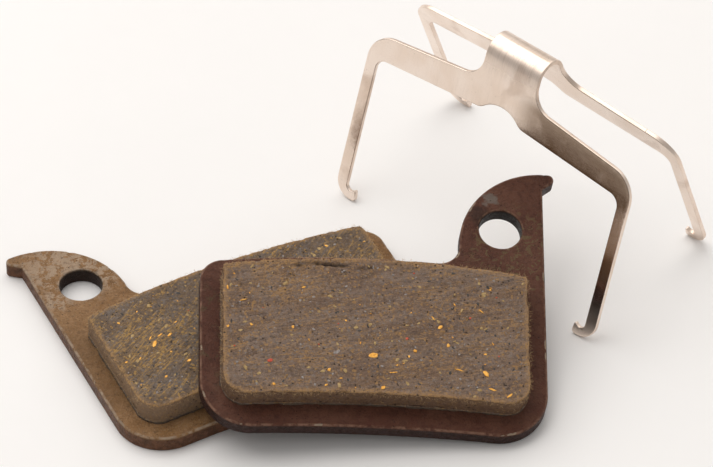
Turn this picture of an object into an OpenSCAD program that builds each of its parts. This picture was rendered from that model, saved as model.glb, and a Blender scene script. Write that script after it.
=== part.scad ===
// Disc brake pad set: two mirror-image pads and the spring clip that spreads them.
// The set is laid out loose. The lower pad lies flat on its back, the upper pad leans on its
// friction block, and the clip stands on its four toes over the upper pad's ear.
// Millimetres, +Z up. The origin is on the axis of the lower pad's pin hole, at its back face,
// which is the surface that the set lies on. +X runs along the clip.

/* [Backing plate] */
// Width between the two side edges
plate_w = 35.6; // [34.6:0.1:37]
// Thickness of the steel
plate_t = 1.8; // [1.4:0.1:2.4]
// Height from the middle of the bottom edge up to the pin hole's axis
plate_bottom = 23.9; // [23.4:0.1:26]
// Height from the middle of the top edge up to the pin hole's axis
plate_top = 4.1; // [3.6:0.1:4.6]
// Radius of the rounded bottom corners
plate_corner_r = 5.1; // [2:0.1:6]
// Radius of the shoulder at the end away from the ear
shoulder_r = 2.5; // [1:0.1:4]
// Radius of the shallow arch that hollows the bottom edge
bottom_arch_r = 200; // [120:10:400]
// Radius of the shallow arch that crowns the top edge
top_arch_r = 130; // [110:10:400]

/* [Ear] */
// Diameter of the pin hole
hole_d = 4.4; // [3:0.1:6]
// Distance from the pin hole's axis to the near side edge
hole_in = 4.5; // [4:0.1:5.5]
// Radius of the ear, which is centred on the side edge
ear_r = 8.8; // [8:0.1:10]
// Height from the ear's centre up to the pin hole's axis
ear_drop = 1.9; // [1:0.1:2.4]
// Radius of the hollow where the ear meets the top edge
ear_root_r = 2.2; // [1:0.1:3]
// How far the hook stands out past the side edge
hook_out = 1.2; // [0.8:0.1:2]
// Radius of the hook's tip
hook_r = 0.6; // [0.4:0.1:0.8]
// Height of the notch under the hook, above the pin hole's axis
notch_up = 5.05; // [4:0.05:5.4]

/* [Friction block] */
// Width of the block, centred on the plate
block_w = 31.5; // [28:0.1:32.5]
// Thickness of the friction material
block_t = 2.4; // [0.8:0.1:4]
// Height from the middle of its bottom edge up to the pin hole's axis
block_bottom = 21.5; // [19:0.1:22]
// Height from the middle of its top edge up to the pin hole's axis
block_top = 5.6; // [5:0.1:7]
// Radius of its bottom corners
block_corner_r = 2.4; // [0.8:0.1:4]
// Radius of its top corners
block_shoulder_r = 0.6; // [0.4:0.1:2]
// Radius of the arch that hollows its bottom edge
block_bottom_arch_r = 165; // [100:5:400]
// Radius of the arch that crowns its top edge
block_top_arch_r = 100; // [80:5:300]
// Thickness of the adhesive layer under the block
bond_t = 0.2; // [0.1:0.05:0.4]
// How far the adhesive layer stops short of the block's edge
bond_inset = 0.15; // [0.05:0.05:0.4]

/* [Spring clip] */
// Thickness of the spring steel strip
sheet_t = 0.5; // [0.3:0.05:0.6]
// Outer radius of the round arch
arch_r = 2.1; // [1.6:0.1:3]
// Length of the arch along X
arch_w = 7; // [5:0.1:9]
// Lean of each side frame from the vertical, in degrees
splay = 19; // [12:0.5:24]
// Width over the legs
clip_w = 35; // [33:0.2:37]
// Width of each leg
leg_w = 1.35; // [1:0.05:2]
// Length of a side frame, from the edge of the arch down to the toes
frame_h = 23.9; // [20:0.05:27]
// Drop from the edge of the arch to the line of the arms' top edges, at the middle
arm_drop = 2.3; // [1.8:0.1:3]
// Width of the arms at the middle
arm_w = 3.4; // [2.6:0.1:4]
// Fall of an arm's top edge for each millimetre outwards
arm_top_slope = 0.125; // [0.05:0.005:0.2]
// Fall of an arm's bottom edge for each millimetre outwards
arm_bottom_slope = 0.085; // [0.03:0.005:0.12]
// Radius of the hollow between the arch's end and an arm
arch_root_r = 2.4; // [1:0.1:3]
// Radius outside the corner of arm and leg
corner_out_r = 3.2; // [2:0.1:4]
// Radius inside the corner of arm and leg
corner_in_r = 1.3; // [0.8:0.1:2]
// Radius of the arched notch under the middle of each frame
notch_r = 3.2; // [2:0.1:4]
// Height of that notch above the line of the arms' bottom edges
notch_h = 1; // [0.8:0.1:2]
// Radius of the edges beside that notch
notch_flare_r = 1.6; // [0.8:0.1:2.5]
// How far a toe reaches inwards past its leg
toe_reach = 1.15; // [0.8:0.05:1.6]
// Height of a toe
toe_h = 0.95; // [0.7:0.05:1.3]
// Radius outside the bend from leg to toe
toe_out_r = 2; // [1.4:0.1:2.2]
// Radius inside the bend from leg to toe
toe_in_r = 0.6; // [0.3:0.1:0.8]
// Height of the upturned tip of a toe
tip_h = 0.3; // [0.2:0.05:0.8]

/* [Layout] */
// Turn of the lower pad about its pin hole, in degrees
lower_yaw = 66.1; // [60:0.1:75]
// Place of the upper pad's pin hole in plan
upper_at = [31.5, 29.7];
// Turn of the upper pad about the vertical, in degrees
upper_yaw = 42.8; // [42:0.1:44]
// Sideways lean of the upper pad, in degrees
upper_roll = 5.9; // [5.9:0.05:6.4]
// Lengthways lean of the upper pad on the lower one, in degrees
upper_tilt = 15.25; // [15.2:0.05:16]
// Place of the clip's centre in plan
clip_at = [27.2, 38.7];
// Gap left under the upper pad's lowest corner
rest_gap = 0.03; // [0:0.01:0.2]

/* [Hidden] */
// Furthest that a facet of an outline's arc stands off the true arc
chord_gap = 0.006;
$fn = 96;

plate_right = hole_in;
plate_left = hole_in - plate_w;
plate_mid = (plate_left + plate_right) / 2;
ear_centre = [plate_right, -ear_drop];

// Point at a distance and an angle from a centre
function polar(c, r, a) = c + r * [cos(a), sin(a)];
// Angle of the direction from one point to another
function bearing(from, to) = atan2(to.y - from.y, to.x - from.x);
// The same angle counted from 0 to 360
function turned(a) = a < 0 ? a + 360 : a;
// Points along an arc, ends included
function arc(c, r, a0, a1) =
    let (n = max(2, ceil(abs(a1 - a0) / (2 * acos(1 - chord_gap / r)))))
    [for (i = [0 : n]) polar(c, r, a0 + (a1 - a0) * i / n)];
// Height above a circle's centre of the point on it at a sideways distance
function rise(r, dx) = sqrt(r * r - dx * dx);
// Centres of the two arches that bound a pad outline above and below
function crown_centre(y, r) = [plate_mid, y - r];
// Centre of a corner at a vertical edge, inside a crowned top edge
function shoulder_centre(x, r, c, big_r) = [x, c.y + rise(big_r - r, x - c.x)];
// Centre of a corner at a vertical edge, above a hollowed bottom edge
function heel_centre(x, r, c, big_r) = [x, c.y + rise(big_r + r, x - c.x)];
// Where two circles meet, on the left of the way from the first to the second
function circles_meet(c1, r1, c2, r2) =
    let (d = norm(c2 - c1), a = bearing(c1, c2))
    polar(c1, r1, a + acos((r1 * r1 + d * d - r2 * r2) / (2 * r1 * d)));

// Bottom edge of a pad outline with both of its corners, from left to right
function heel_edge(left, right, y, big_r, r) =
    let (
        c = crown_centre(y, big_r),
        cl = heel_centre(left + r, r, c, big_r),
        cr = heel_centre(right - r, r, c, big_r)
    )
    concat(
        arc(cl, r, 180, turned(bearing(cl, c))),
        arc(c, big_r, bearing(c, cl), bearing(c, cr)),
        arc(cr, r, bearing(cr, c), 0)
    );

// Outline of the backing plate, seen from its friction side, with the pin hole at the origin
function plate_outline() =
    let (
        top_c = crown_centre(-plate_top, top_arch_r),
        root = circles_meet(top_c, top_arch_r + ear_root_r, ear_centre, ear_r + ear_root_r),
        shoulder = shoulder_centre(plate_left + shoulder_r, shoulder_r, top_c, top_arch_r),
        tip_x = plate_right + hook_out - hook_r,
        tip = [tip_x, ear_centre.y + rise(ear_r - hook_r, tip_x - ear_centre.x)]
    )
    concat(
        heel_edge(plate_left, plate_right, -plate_bottom, bottom_arch_r, plate_corner_r),
        [[plate_right, notch_up]],
        arc(tip, hook_r, -50, bearing(ear_centre, tip)),
        arc(ear_centre, ear_r, bearing(ear_centre, tip), turned(bearing(ear_centre, root))),
        arc(root, ear_root_r, bearing(root, ear_centre), bearing(root, top_c)),
        arc(top_c, top_arch_r, bearing(top_c, root), bearing(top_c, shoulder)),
        arc(shoulder, shoulder_r, bearing(top_c, shoulder), 180)
    );

// Outline of the friction block, drawn in from its edge by an inset
function block_outline(inset) =
    let (
        left = plate_mid - block_w / 2 + inset,
        right = plate_mid + block_w / 2 - inset,
        big_r = block_top_arch_r - inset,
        top_c = crown_centre(-block_top - inset, big_r),
        tl = shoulder_centre(left + block_shoulder_r, block_shoulder_r, top_c, big_r),
        tr = shoulder_centre(right - block_shoulder_r, block_shoulder_r, top_c, big_r)
    )
    concat(
        heel_edge(left, right, -block_bottom + inset, block_bottom_arch_r, block_corner_r),
        arc(tr, block_shoulder_r, 0, bearing(top_c, tr)),
        arc(top_c, big_r, bearing(top_c, tr), bearing(top_c, tl)),
        arc(tl, block_shoulder_r, bearing(top_c, tl), 180)
    );

module backing_plate() {
    difference() {
        linear_extrude(plate_t) polygon(plate_outline());
        translate([0, 0, -1]) cylinder(h = plate_t + 2, d = hole_d);
    }
}

module bond_layer() {
    translate([0, 0, plate_t]) linear_extrude(bond_t) polygon(block_outline(bond_inset));
}

module friction_block() {
    translate([0, 0, plate_t + bond_t]) linear_extrude(block_t) polygon(block_outline(0));
}

// Puts a pad part where the lower pad lies: it is the mirror image of the upper pad
module on_lower_pad() {
    rotate(lower_yaw) mirror([1, 0, 0]) children();
}

// How steeply the leaning upper pad rises along its own X and Y
upper_slope = [-sin(upper_roll), cos(upper_roll) * sin(upper_tilt)];
// Depth of its lowest corner below its pin hole
heel_c = heel_centre(
    plate_right - plate_corner_r, plate_corner_r,
    crown_centre(-plate_bottom, bottom_arch_r), bottom_arch_r
);
upper_depth = plate_corner_r * norm(upper_slope) - heel_c * upper_slope;

// Puts a pad part where the upper pad leans, with its lowest corner on the ground
module on_upper_pad() {
    translate([upper_at.x, upper_at.y, upper_depth + rest_gap])
        rotate([upper_tilt, upper_roll, upper_yaw])
            children();
}

module lower_backing_plate() {
    color("#6b5842") on_lower_pad() backing_plate();
}

module lower_bond_layer() {
    color("#a98f6c") on_lower_pad() bond_layer();
}

module lower_friction_block() {
    color("#77654c") on_lower_pad() friction_block();
}

module upper_backing_plate() {
    color("#573a31") on_upper_pad() backing_plate();
}

module upper_bond_layer() {
    color("#a98f6c") on_upper_pad() bond_layer();
}

module upper_friction_block() {
    color("#6e5c4c") on_upper_pad() friction_block();
}

// Height of the arch's axis: the inner edges of the toes stand on the ground
arch_axis_z = frame_h * cos(splay) - (arch_r - sheet_t) * sin(splay);
arch_half = arch_w / 2;
leg_out = clip_w / 2;
leg_in = leg_out - leg_w;
toe_end = leg_in - toe_reach;

// Heights of an arm's two edges at a distance from the middle
function arm_top_y(x) = -arm_drop - arm_top_slope * x;
function arm_bottom_y(x) = -arm_drop - arm_w - arm_bottom_slope * x;
// Angle of an edge that falls by a slope
function fall_angle(slope) = atan(slope);

// Right half of a side frame's outline, from the middle of the arch's edge round to the notch.
// X runs along the clip and Y up the frame, from the edge of the arch.
function half_frame() =
    let (
        top_a = fall_angle(arm_top_slope),
        bottom_a = fall_angle(arm_bottom_slope),
        root_x = arch_half + arch_root_r,
        root = [root_x, arm_top_y(root_x) + arch_root_r / cos(top_a)],
        out_x = leg_out - corner_out_r,
        out_c = [out_x, arm_top_y(out_x) - corner_out_r / cos(top_a)],
        in_x = leg_in - corner_in_r,
        in_c = [in_x, arm_bottom_y(in_x) - corner_in_r / cos(bottom_a)],
        toe_c = [leg_out - toe_out_r, -frame_h + toe_out_r],
        bend_c = [leg_in - toe_in_r, -frame_h + toe_h + toe_in_r],
        notch_c = [0, arm_bottom_y(0) + notch_h - notch_r],
        flare_y = arm_bottom_y(notch_r) + notch_flare_r / cos(bottom_a),
        flare_c = [rise(notch_r + notch_flare_r, flare_y - notch_c.y), flare_y],
        tip_w = sheet_t
    )
    concat(
        [[arch_half, 0]],
        arc(root, arch_root_r, 180, 270 - top_a),
        arc(out_c, corner_out_r, 90 - top_a, 0),
        arc(toe_c, toe_out_r, 0, -90),
        [
            [toe_end, -frame_h],
            [toe_end - tip_w / 2, -frame_h + toe_h / 2],
            [toe_end, -frame_h + toe_h + tip_h],
            [toe_end + tip_w, -frame_h + toe_h]
        ],
        arc(bend_c, toe_in_r, -90, 0),
        arc(in_c, corner_in_r, 0, 90 - bottom_a),
        arc(flare_c, notch_flare_r, 270 - bottom_a, turned(bearing(flare_c, notch_c))),
        arc(notch_c, notch_r, bearing(notch_c, flare_c), 90)
    );

// The same outline on the left, in the order that closes it
function mirrored(points) =
    [for (i = [len(points) - 1 : -1 : 0]) [-points[i].x, points[i].y]];

module side_frame() {
    translate([0, 0, arch_axis_z])
        rotate([90 - splay, 0, 0])
            translate([0, 0, arch_r - sheet_t])
                linear_extrude(sheet_t)
                    polygon(concat(half_frame(), mirrored(half_frame())));
}

module on_clip() {
    translate([clip_at.x, clip_at.y, 0]) children();
}

module clip_arch() {
    color("#d9cdc0") on_clip()
        translate([-arch_half, 0, arch_axis_z])
            rotate([0, 90, 0])
                rotate([0, 0, 90 + splay])
                    rotate_extrude(angle = 180 - 2 * splay)
                        translate([arch_r - sheet_t, 0]) square([sheet_t, arch_w]);
}

module clip_front_legs() {
    color("#cdbfb2") on_clip() side_frame();
}

module clip_rear_legs() {
    color("#cdbfb2") on_clip() mirror([0, 1, 0]) side_frame();
}

lower_backing_plate();
lower_bond_layer();
lower_friction_block();
upper_backing_plate();
upper_bond_layer();
upper_friction_block();
clip_arch();
clip_front_legs();
clip_rear_legs();
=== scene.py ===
"""Looks of a disc brake pad set: two mirror-image pads and the spring clip that spreads them.

Lengths are in millimetres in the pads' own frames and in the clip's flat pattern, and turn into
metres where a mesh is made. The shapes repeat the CAD outlines, with rounded and worn edges.
"""

import math
import random

import bmesh
import bpy
import numpy as np
from mathutils import Matrix, Vector, geometry, noise


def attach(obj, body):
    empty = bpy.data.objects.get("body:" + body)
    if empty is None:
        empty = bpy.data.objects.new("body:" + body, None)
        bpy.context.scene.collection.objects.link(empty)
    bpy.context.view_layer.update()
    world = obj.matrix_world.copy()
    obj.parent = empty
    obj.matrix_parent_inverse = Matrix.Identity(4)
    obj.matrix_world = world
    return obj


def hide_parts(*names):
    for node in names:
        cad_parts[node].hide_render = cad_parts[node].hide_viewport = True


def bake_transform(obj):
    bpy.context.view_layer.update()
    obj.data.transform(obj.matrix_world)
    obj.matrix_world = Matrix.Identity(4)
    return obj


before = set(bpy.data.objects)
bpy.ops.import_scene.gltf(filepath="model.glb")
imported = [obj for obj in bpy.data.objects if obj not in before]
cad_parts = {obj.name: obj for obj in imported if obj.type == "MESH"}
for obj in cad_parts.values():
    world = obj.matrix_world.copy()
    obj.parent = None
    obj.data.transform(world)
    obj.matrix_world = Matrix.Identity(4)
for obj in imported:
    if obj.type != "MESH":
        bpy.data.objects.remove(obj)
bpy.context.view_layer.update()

MM = 0.001

# ------ sizes, as in the CAD source
PLATE_W, PLATE_T, HOLE_R, HOLE_IN = 35.6, 1.8, 2.2, 4.5
PLATE_BOTTOM, PLATE_TOP, PLATE_CORNER_R, SHOULDER_R = 23.9, 4.1, 5.1, 2.5
BOTTOM_ARCH_R, TOP_ARCH_R = 200, 130
EAR_R, EAR_DROP, EAR_ROOT_R = 8.8, 1.9, 2.2
HOOK_OUT, HOOK_R, NOTCH_UP = 1.2, 0.6, 5.05
BLOCK_W, BLOCK_T, BLOCK_BOTTOM, BLOCK_TOP = 31.5, 2.4, 21.5, 5.6
BLOCK_CORNER_R, BLOCK_SHOULDER_R = 2.4, 0.6
BLOCK_BOTTOM_ARCH_R, BLOCK_TOP_ARCH_R = 165, 100
BOND_T = 0.2

SHEET_T, ARCH_R, ARCH_W, SPLAY = 0.5, 2.1, 7, 19
CLIP_W, LEG_W, FRAME_H = 35, 1.35, 23.9
ARM_DROP, ARM_W, ARM_TOP_SLOPE, ARM_BOTTOM_SLOPE = 2.3, 3.4, 0.125, 0.085
ARCH_ROOT_R, CORNER_OUT_R, CORNER_IN_R = 2.4, 3.2, 1.3
NOTCH_R, NOTCH_H, NOTCH_FLARE_R = 3.2, 1, 1.6
TOE_REACH, TOE_H, TOE_OUT_R, TOE_IN_R, TIP_H = 1.15, 0.95, 2, 0.6, 0.3

LOWER_YAW = 66.1
UPPER_AT, UPPER_YAW, UPPER_ROLL, UPPER_TILT = (31.5, 29.7), 42.8, 5.9, 15.25
CLIP_AT = (27.2, 38.7)
REST_GAP = 0.03

PLATE_RIGHT = HOLE_IN
PLATE_LEFT = HOLE_IN - PLATE_W
PLATE_MID = (PLATE_LEFT + PLATE_RIGHT) / 2
EAR_CENTRE = np.array([PLATE_RIGHT, -EAR_DROP])
BLOCK_TOP_Z = PLATE_T + BOND_T + BLOCK_T
MID_R = ARCH_R - SHEET_T / 2
FOOT_ANGLE = math.radians(90 - SPLAY)
ARCH_LEN = MID_R * FOOT_ANGLE
ARCH_AXIS_Z = FRAME_H * math.cos(math.radians(SPLAY)) - (ARCH_R - SHEET_T) * math.sin(math.radians(SPLAY))


# ------ outlines
def polar(c, r, a):
    """Point on a circle, at an angle in degrees."""
    return np.array(c, float) + r * np.array([math.cos(math.radians(a)), math.sin(math.radians(a))])


def bearing(a, b):
    """Angle in degrees from one point to another."""
    return math.degrees(math.atan2(b[1] - a[1], b[0] - a[0]))


def turned(a):
    """The same angle, from 0 up."""
    return a + 360 if a < 0 else a


def arc(c, r, a0, a1, step=0.25):
    """Points along an arc, from one angle to another."""
    n = max(3, math.ceil(r * abs(math.radians(a1 - a0)) / step))
    return [polar(c, r, a0 + (a1 - a0) * i / n) for i in range(n + 1)]


def rise(r, dx):
    """Height of a circle above its centre, at a distance to the side."""
    return math.sqrt(r * r - dx * dx)


def circles_meet(c1, r1, c2, r2):
    """The crossing of two circles that is to the left of the way between them."""
    d = math.hypot(c2[0] - c1[0], c2[1] - c1[1])
    turn = math.degrees(math.acos((r1 * r1 + d * d - r2 * r2) / (2 * r1 * d)))
    return polar(c1, r1, bearing(c1, c2) + turn)


def heel_edge(left, right, y, big_r, r):
    """The lower edge: a shallow arch between two round corners."""
    c = (PLATE_MID, y - big_r)
    cl = (left + r, c[1] + rise(big_r + r, left + r - PLATE_MID))
    cr = (right - r, c[1] + rise(big_r + r, right - r - PLATE_MID))
    return (
        arc(cl, r, 180, turned(bearing(cl, c)))
        + arc(c, big_r, bearing(c, cl), bearing(c, cr))
        + arc(cr, r, bearing(cr, c), 0)
    )


def plate_outline():
    """A backing plate with its hooked ear, the pin hole at the origin."""
    top_c = (PLATE_MID, -PLATE_TOP - TOP_ARCH_R)
    root = circles_meet(top_c, TOP_ARCH_R + EAR_ROOT_R, EAR_CENTRE, EAR_R + EAR_ROOT_R)
    sx = PLATE_LEFT + SHOULDER_R
    shoulder = (sx, top_c[1] + rise(TOP_ARCH_R - SHOULDER_R, sx - PLATE_MID))
    tip_x = PLATE_RIGHT + HOOK_OUT - HOOK_R
    tip = (tip_x, EAR_CENTRE[1] + rise(EAR_R - HOOK_R, tip_x - EAR_CENTRE[0]))
    return (
        heel_edge(PLATE_LEFT, PLATE_RIGHT, -PLATE_BOTTOM, BOTTOM_ARCH_R, PLATE_CORNER_R)
        + [np.array([PLATE_RIGHT, NOTCH_UP])]
        + arc(tip, HOOK_R, -50, bearing(EAR_CENTRE, tip), 0.1)
        + arc(EAR_CENTRE, EAR_R, bearing(EAR_CENTRE, tip), turned(bearing(EAR_CENTRE, root)))
        + arc(root, EAR_ROOT_R, bearing(root, EAR_CENTRE), bearing(root, top_c))
        + arc(top_c, TOP_ARCH_R, bearing(top_c, root), bearing(top_c, shoulder))
        + arc(shoulder, SHOULDER_R, bearing(top_c, shoulder), 180)
    )


def block_outline(inset=0.0):
    """The friction block, moved in by an inset."""
    left, right = PLATE_MID - BLOCK_W / 2 + inset, PLATE_MID + BLOCK_W / 2 - inset
    big_r, r = BLOCK_TOP_ARCH_R - inset, BLOCK_SHOULDER_R
    c = (PLATE_MID, -BLOCK_TOP - BLOCK_TOP_ARCH_R)
    tl = (left + r, c[1] + rise(big_r - r, left + r - PLATE_MID))
    tr = (right - r, c[1] + rise(big_r - r, right - r - PLATE_MID))
    return (
        heel_edge(left, right, -BLOCK_BOTTOM + inset, BLOCK_BOTTOM_ARCH_R, BLOCK_CORNER_R)
        + arc(tr, r, 0, bearing(c, tr))
        + arc(c, big_r, bearing(c, tr), bearing(c, tl))
        + arc(tl, r, bearing(c, tl), 180)
    )


def half_frame():
    """Right half of a side frame, x outwards and y up from the edge of the arch."""
    top_a = math.degrees(math.atan(ARM_TOP_SLOPE))
    bottom_a = math.degrees(math.atan(ARM_BOTTOM_SLOPE))

    def top(x):
        return -ARM_DROP - ARM_TOP_SLOPE * x

    def bottom(x):
        return -ARM_DROP - ARM_W - ARM_BOTTOM_SLOPE * x

    def lean(r, a):
        return r / math.cos(math.radians(a))

    half, out, inn = ARCH_W / 2, CLIP_W / 2, CLIP_W / 2 - LEG_W
    toe = inn - TOE_REACH
    # The rolled end of the toe, from its underside round to its top
    rolled = (
        (0, 0), (-0.2, 0.18), (-SHEET_T / 2, TOE_H / 2), (-0.12, TOE_H + TIP_H * 0.7),
        (0, TOE_H + TIP_H), (SHEET_T * 0.6, TOE_H + 0.08),
    )
    root_x, out_x, in_x = half + ARCH_ROOT_R, out - CORNER_OUT_R, inn - CORNER_IN_R
    notch_c = (0, bottom(0) + NOTCH_H - NOTCH_R)
    flare_y = bottom(NOTCH_R) + lean(NOTCH_FLARE_R, bottom_a)
    flare_c = (rise(NOTCH_R + NOTCH_FLARE_R, flare_y - notch_c[1]), flare_y)
    return (
        arc((root_x, top(root_x) + lean(ARCH_ROOT_R, top_a)), ARCH_ROOT_R, 180, 270 - top_a)
        + arc((out_x, top(out_x) - lean(CORNER_OUT_R, top_a)), CORNER_OUT_R, 90 - top_a, 0)
        + arc((out - TOE_OUT_R, -FRAME_H + TOE_OUT_R), TOE_OUT_R, 0, -90)
        + [np.array([toe + x, y - FRAME_H]) for x, y in rolled]
        + arc((inn - TOE_IN_R, -FRAME_H + TOE_H + TOE_IN_R), TOE_IN_R, -90, 0, 0.12)
        + arc((in_x, bottom(in_x) - lean(CORNER_IN_R, bottom_a)), CORNER_IN_R, 0, 90 - bottom_a, 0.15)
        + arc(flare_c, NOTCH_FLARE_R, 270 - bottom_a, turned(bearing(flare_c, notch_c)))
        + arc(notch_c, NOTCH_R, bearing(notch_c, flare_c), 90)
    )


def dense(points, step):
    """The closed outline with long stretches divided and doubled points left out."""
    out = []
    for a, b in zip(points, points[1:] + points[:1]):
        d = math.hypot(*(b - a))
        if d < step * 0.15:
            continue
        n = max(1, round(d / step))
        out += [a + (b - a) * i / n for i in range(n)]
    return np.array(out)


def outward(loop):
    """Normal at each point of a counter-clockwise loop, longer at corners so that edges stay parallel."""
    ahead, back = np.roll(loop, -1, 0) - loop, loop - np.roll(loop, 1, 0)

    def side(v):
        v = v / np.linalg.norm(v, axis=1)[:, None]
        return np.stack([v[:, 1], -v[:, 0]], 1)

    a, b = side(ahead), side(back)
    n = a + b
    n /= np.linalg.norm(n, axis=1)[:, None]
    return n / np.maximum(0.7, (n * a).sum(1))[:, None]


def inside(points, loop):
    """Which points are inside a closed loop."""
    x, y = points[:, 0][:, None], points[:, 1][:, None]
    a, b = loop, np.roll(loop, -1, 0)
    slope = (b[:, 0] - a[:, 0]) / np.where(b[:, 1] == a[:, 1], 1e-9, b[:, 1] - a[:, 1])
    hit = ((a[:, 1] > y) != (b[:, 1] > y)) & (x < a[:, 0] + (y - a[:, 1]) * slope)
    return hit.sum(1) % 2 == 1


def far_from(points, loop, gap):
    """Which points keep a gap from all points of a loop."""
    keep = np.ones(len(points), bool)
    for p in loop:
        keep &= ((points - p) ** 2).sum(1) > gap * gap
    return keep


# ------ meshes
ROW_SPACING = 0.866  # between the rows of an even net, in steps
LEVEL_SPACING = 1.3  # between the rows down a wall, in steps
RIM_CLEARANCE = 0.6  # between the net and a face's rims, in steps
BOTTOM_THINNING = 9  # one point of the net in this many is kept on the bottom face


def rounded_profile(z0, z1, round_top, round_bottom, step, rows):
    """The way from the bottom face to the top one, as (inset, height, outward share, upward share)."""
    quarter = [math.pi / 2 * i / rows for i in range(rows + 1)]
    wall = z1 - z0 - round_top - round_bottom
    levels = max(1, round(wall / (step * LEVEL_SPACING)))
    prof = [
        (round_bottom * (1 - math.sin(a)), z0 + round_bottom * (1 - math.cos(a)), math.sin(a), -math.cos(a))
        for a in quarter
    ]
    prof += [(0, z0 + round_bottom + wall * i / levels, 1, 0) for i in range(1, levels)]
    prof += [
        (round_top * (1 - math.cos(a)), z1 - round_top * (1 - math.sin(a)), math.cos(a), math.sin(a))
        for a in quarter
    ]
    return prof


def even_net(low, high, step):
    """Points of a triangular net over a rectangle."""
    xs, ys = np.arange(low[0], high[0], step), np.arange(low[1], high[1], step * ROW_SPACING)
    gx, gy = np.meshgrid(xs, ys)
    gx = gx + (np.arange(gx.shape[0]) % 2)[:, None] * step / 2
    return np.column_stack([gx.ravel(), gy.ravel()])


def in_face(points, loops):
    """Which points are inside the first loop and outside the others."""
    keep = np.ones(len(points), bool)
    for k, loop in enumerate(loops):
        keep &= inside(points, loop) == (k == 0)
    return keep


def rim_edges_and_fill(loops, net, gap):
    """Edges of a face's rims, and the points of the net that lie in the face, clear of its rims."""
    edges, base = [], 0
    net = net[in_face(net, loops)]
    for loop in loops:
        m = len(loop)
        edges += [(base + i, base + (i + 1) % m) for i in range(m)]
        base += m
        net = net[far_from(net, loop, gap)]
    return edges, net


def rings(start, m, count):
    """Four-sided faces between rings of m points, numbered on from start."""
    faces = []
    for a in range(start, start + (count - 1) * m, m):
        faces += [(a + i, a + (i + 1) % m, a + m + (i + 1) % m, a + m + i) for i in range(m)]
    return faces


def slab(loops, z0, z1, round_top, round_bottom, step, rows=3):
    """Solid between two heights, with rounded edges and an even net of points on its top face.

    loops are the outline and then its holes.
    Returns points, outward directions, a share that is 1 midway round an edge, and faces."""
    pts, out, edge, faces = [], [], [], []
    rims = {"top": [], "bottom": []}
    prof = rounded_profile(z0, z1, round_top, round_bottom, step, rows)
    for raw in loops:
        normal = outward(raw)
        m, start = len(raw), sum(len(p) for p in pts)
        for inset, z, side, up in prof:
            pts.append(np.column_stack([raw - normal * inset, np.full(m, z)]))
            out.append(np.column_stack([normal * side, np.full(m, up)]))
            edge.append(np.full(m, side * abs(up) * 2))
        faces += rings(start, m, len(prof))
        rims["bottom"].append((start, m))
        rims["top"].append((start + (len(prof) - 1) * m, m))
    flat = np.vstack(pts)
    net = even_net(loops[0].min(0), loops[0].max(0), step)
    for name, z, up in (("top", z1, 1), ("bottom", z0, -1)):
        ring = [i for start, m in rims[name] for i in range(start, start + m)]
        rim_loops = [flat[start : start + m, :2] for start, m in rims[name]]
        edges, fill = rim_edges_and_fill(rim_loops, net, step * RIM_CLEARANCE)
        if name == "bottom":
            fill = fill[::BOTTOM_THINNING]
        coords = [Vector(flat[i, :2]) for i in ring] + [Vector(p) for p in fill]
        verts, _, tris, origin, _, _ = geometry.delaunay_2d_cdt(coords, edges, [], 1, 1e-7)
        middles = np.array([[sum(verts[i][axis] for i in t) / 3 for axis in (0, 1)] for t in tris])
        tris = [t for t, kept in zip(tris, in_face(middles, rim_loops)) if kept]
        index, new, extra = [], [], sum(len(p) for p in pts)
        for v, src in zip(verts, origin):
            known = [s for s in src if s < len(ring)]
            index.append(ring[known[0]] if known else extra + len(new))
            if not known:
                new.append((v[0], v[1], z))
        pts.append(np.array(new))
        out.append(np.tile([0.0, 0.0, up], (len(new), 1)))
        edge.append(np.zeros(len(new)))
        faces += [tuple(index[i] for i in t)[::up] for t in tris]
    return np.vstack(pts), np.vstack(out), np.concatenate(edge), faces


def add_object(name, data):
    """A new object in the scene."""
    obj = bpy.data.objects.new(name, data)
    bpy.context.scene.collection.objects.link(obj)
    return obj


def face_outwards(mesh, close=False):
    """Turns a mesh's faces outwards, with its holes closed first where close is set."""
    bm = bmesh.new()
    bm.from_mesh(mesh)
    if close:
        bmesh.ops.holes_fill(bm, edges=[e for e in bm.edges if e.is_boundary], sides=0)
    bmesh.ops.recalc_face_normals(bm, faces=bm.faces)
    bm.to_mesh(mesh)
    bm.free()


def make(name, points, faces, material, attributes=None):
    """Object from points in millimetres, shaded smooth. The points stay with it as local_mm."""
    mesh = bpy.data.meshes.new(name)
    mesh.from_pydata([tuple(p) for p in np.asarray(points) * MM], [], [tuple(f) for f in faces])
    face_outwards(mesh)
    mesh.shade_smooth()
    local = np.asarray(points, np.float32).ravel()
    mesh.attributes.new("local_mm", "FLOAT_VECTOR", "POINT").data.foreach_set("vector", local)
    for key, values in (attributes or {}).items():
        mesh.attributes.new(key, "FLOAT", "POINT").data.foreach_set("value", np.asarray(values, np.float32))
    mesh.materials.append(material)
    return add_object(name, mesh)


def n2(p, scale, level):
    """Smooth noise in plan, at a level of the noise."""
    return noise.noise(Vector((p[0] * scale, p[1] * scale, level)))


def n3(p, scale, seed=0.0):
    """Smooth noise at a place."""
    return noise.noise(Vector((p[0] * scale + seed, p[1] * scale - seed, p[2] * scale + seed * 0.7)))


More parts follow.
